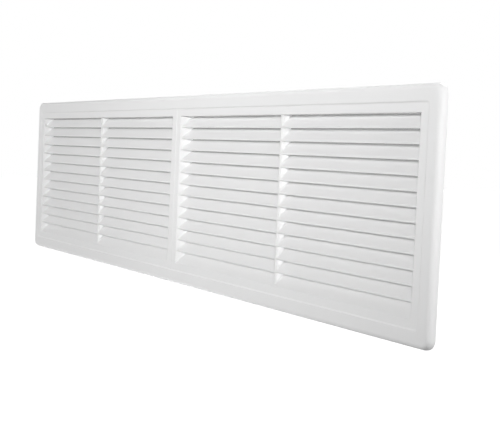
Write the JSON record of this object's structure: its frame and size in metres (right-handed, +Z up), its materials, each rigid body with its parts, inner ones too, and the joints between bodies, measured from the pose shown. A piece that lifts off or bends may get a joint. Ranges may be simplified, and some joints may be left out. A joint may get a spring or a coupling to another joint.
{
  "type": "louvred air vent",
  "caption": "Long white louvred vent plate: fixed sloping slats in a recessed field, a beaded mullion, thin dividers between bays and a shallow collar behind.",
  "frame": {"origin": "middle of the collar at the wall face, which the border's rim touches", "axes": "+X along the vent, +Y into the wall, +Z up; the front faces -Y"},
  "size_m": [0.44, 0.0092, 0.1],
  "materials": {
    "white_plastic": "satin moulded white"
  },
  "bodies": {
    "root": {"vent": "white_plastic"}
  },
  "joints": []
}
